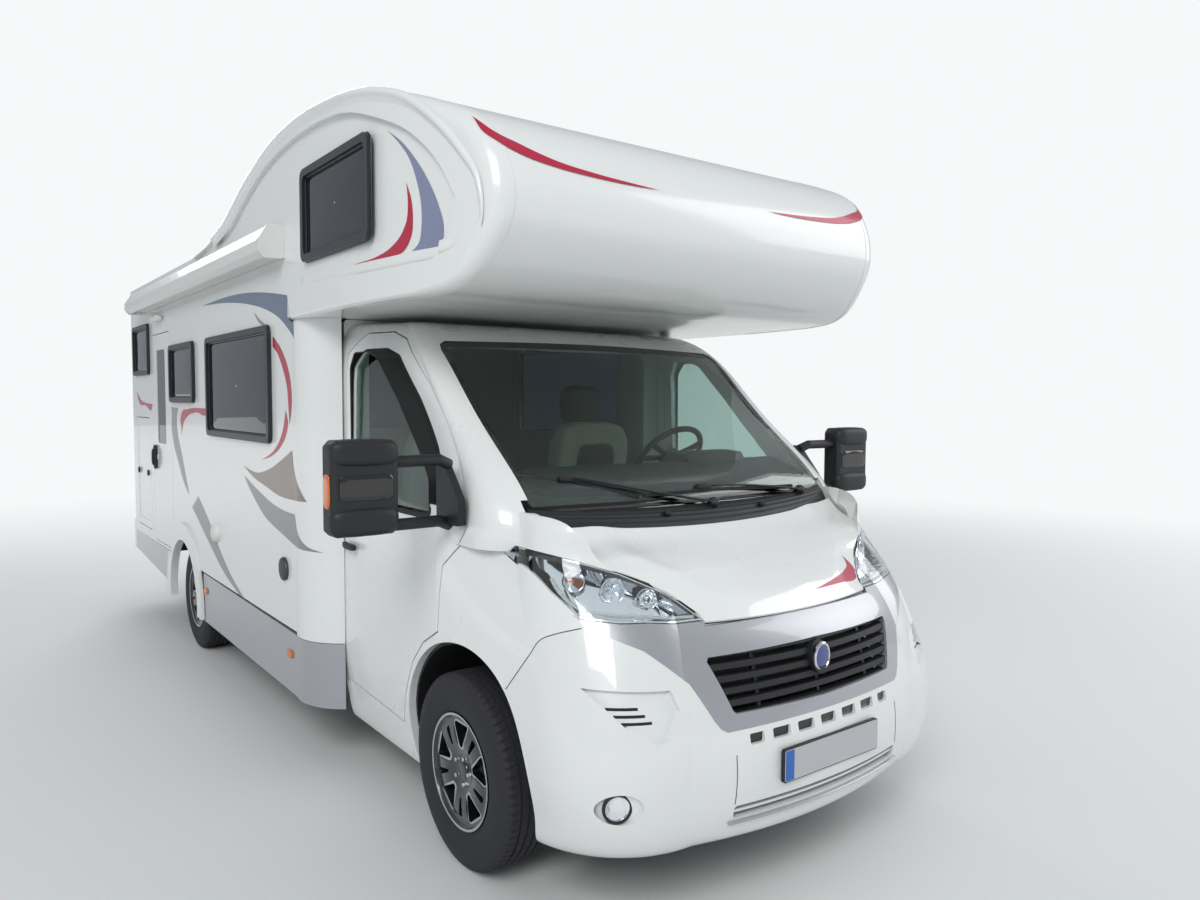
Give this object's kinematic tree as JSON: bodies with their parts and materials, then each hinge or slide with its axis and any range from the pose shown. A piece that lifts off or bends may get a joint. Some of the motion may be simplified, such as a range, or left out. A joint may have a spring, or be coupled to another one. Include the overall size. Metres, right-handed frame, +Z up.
{
  "type": "alcove motorhome",
  "caption": "White coachbuilt motorhome with a rounded sleeping alcove over a front-drive van cab, side entrance door, wall awning, silver skirts and black alloy wheels.",
  "frame": {"origin": "the middle of the footprint, on the ground", "axes": "+Z is up, +Y points to the rear along the vehicle, +X points to the vehicle's left, so the front faces -Y"},
  "size_m": [2.98, 6.7529, 3.105],
  "materials": {
    "gelcoat": "gloss white gelcoat skin",
    "cab_paint": "gloss white paint",
    "bumper_paint": "painted plastic",
    "silver": "silver paint",
    "awning_case": "white coated aluminium",
    "white_plastic": "white plastic",
    "black_plastic": "grained black plastic",
    "tinted_window": "smoked acrylic pane",
    "screen_glass": "laminated glass",
    "lamp_lens": "clear lens",
    "lamp_reflector": "metallised bowl",
    "tail_lens": "red lens",
    "chassis_steel": "black chassis paint",
    "cast_steel": "bare cast metal",
    "tank_plastic": "moulded tank",
    "floor_board": "sealed floor board",
    "tyre": "rubber",
    "alloy": "black and machined alloy",
    "dash_plastic": "grained dashboard plastic",
    "wheel_leather": "wrapped rim",
    "seat_fabric": "light upholstery with dark centre",
    "cabinet_wood": "light cabinet board"
  },
  "bodies": {
    "motorhome_body": {"side_walls": "gelcoat", "alcove_sides": "gelcoat", "alcove_shell": "gelcoat", "main_roof": "gelcoat", "rear_wall": "gelcoat", "alcove_rims": "gelcoat", "corner_fairings": "gelcoat", "rear_arch_trims": "gelcoat", "rear_bumper": "gelcoat", "cab_shell": "cab_paint", "front_bumper": "bumper_paint", "side_skirts": "silver", "grille_surround": "silver", "awning_cassette": "awning_case", "rooflights": "white_plastic", "grille": "black_plastic", "scuttle": "black_plastic", "wheel_liners": "black_plastic", "window_frames": "black_plastic", "window_panes": "tinted_window", "windscreen": "screen_glass", "headlamps": "lamp_lens", "lamp_bowls": "lamp_reflector", "rear_lamps": "tail_lens", "chassis_frame": "chassis_steel", "rear_axle": "chassis_steel", "front_suspension": "chassis_steel", "engine_block": "cast_steel", "tanks_and_exhaust": "tank_plastic", "rear_wheel_boxes": "tank_plastic", "house_floor": "floor_board", "cab_floor": "floor_board", "dashboard": "dash_plastic", "cab_seats": "seat_fabric", "furniture": "cabinet_wood"},
    "bonnet": {"bonnet": "cab_paint"},
    "steering_wheel": {"steering_wheel": "wheel_leather"},
    "cab_door_right": {"cab_door_right": "cab_paint", "door_glass_right": "screen_glass", "mirror_right": "black_plastic"},
    "cab_door_left": {"cab_door_left": "cab_paint", "door_glass_left": "screen_glass", "mirror_left": "black_plastic"},
    "entrance_door": {"entrance_door": "gelcoat", "entrance_door_pane": "tinted_window"},
    "garage_hatch": {"garage_hatch": "gelcoat"},
    "knuckle_right": {"knuckle_right": "cast_steel"},
    "knuckle_left": {"knuckle_left": "cast_steel"},
    "wheel_front_right": {"tyre_front_right": "tyre", "rim_front_right": "alloy"},
    "wheel_front_left": {"tyre_front_left": "tyre", "rim_front_left": "alloy"},
    "wheel_rear_right": {"tyre_rear_right": "tyre", "rim_rear_right": "alloy"},
    "wheel_rear_left": {"tyre_rear_left": "tyre", "rim_rear_left": "alloy"}
  },
  "joints": [
    {"name": "steer_right", "type": "hinge", "parent": "motorhome_body", "child": "knuckle_right", "pos_m": [-0.85, -2.415, 0.372], "axis": [0, 0, 1], "range_deg": [-33, 33]},
    {"name": "steer_left", "type": "hinge", "parent": "motorhome_body", "child": "knuckle_left", "pos_m": [0.85, -2.415, 0.372], "axis": [0, 0, 1], "range_deg": [-33, 33]},
    {"name": "steering_wheel_turn", "type": "hinge", "parent": "motorhome_body", "child": "steering_wheel", "pos_m": [0.48, -1.935, 1.5], "axis": [0, 0.788, 0.6157], "range_deg": [-528, 528]},
    {"name": "wheel_front_right_roll", "type": "hinge", "parent": "knuckle_right", "child": "wheel_front_right", "pos_m": [-0.905, -2.415, 0.372], "axis": [1, 0, 0], "continuous": true},
    {"name": "wheel_front_left_roll", "type": "hinge", "parent": "knuckle_left", "child": "wheel_front_left", "pos_m": [0.905, -2.415, 0.372], "axis": [1, 0, 0], "continuous": true},
    {"name": "wheel_rear_right_roll", "type": "hinge", "parent": "motorhome_body", "child": "wheel_rear_right", "pos_m": [-0.99, 1.385, 0.372], "axis": [1, 0, 0], "continuous": true},
    {"name": "wheel_rear_left_roll", "type": "hinge", "parent": "motorhome_body", "child": "wheel_rear_left", "pos_m": [0.99, 1.385, 0.372], "axis": [1, 0, 0], "continuous": true},
    {"name": "cab_door_right_open", "type": "hinge", "parent": "motorhome_body", "child": "cab_door_right", "pos_m": [-0.985, -2.49, 0.9], "axis": [0, 0, 1], "range_deg": [0, 68]},
    {"name": "cab_door_left_open", "type": "hinge", "parent": "motorhome_body", "child": "cab_door_left", "pos_m": [0.985, -2.49, 0.9], "axis": [0, 0, -1], "range_deg": [0, 68]},
    {"name": "bonnet_open", "type": "hinge", "parent": "motorhome_body", "child": "bonnet", "pos_m": [0, -2.565, 1.345], "axis": [-1, 0, 0], "range_deg": [0, 55]},
    {"name": "entrance_door_open", "type": "hinge", "parent": "motorhome_body", "child": "entrance_door", "pos_m": [-1.168, 1.739, 1.4], "axis": [0, 0, 1], "range_deg": [0, 95]},
    {"name": "garage_hatch_open", "type": "hinge", "parent": "motorhome_body", "child": "garage_hatch", "pos_m": [-1.168, 2.539, 1.1], "axis": [0, 0, 1], "range_deg": [0, 95]}
  ],
  "couplings": [
    {"joint": "steer_left", "follows": "steer_right", "ratio": 1},
    {"joint": "steering_wheel_turn", "follows": "steer_right", "ratio": 16}
  ]
}
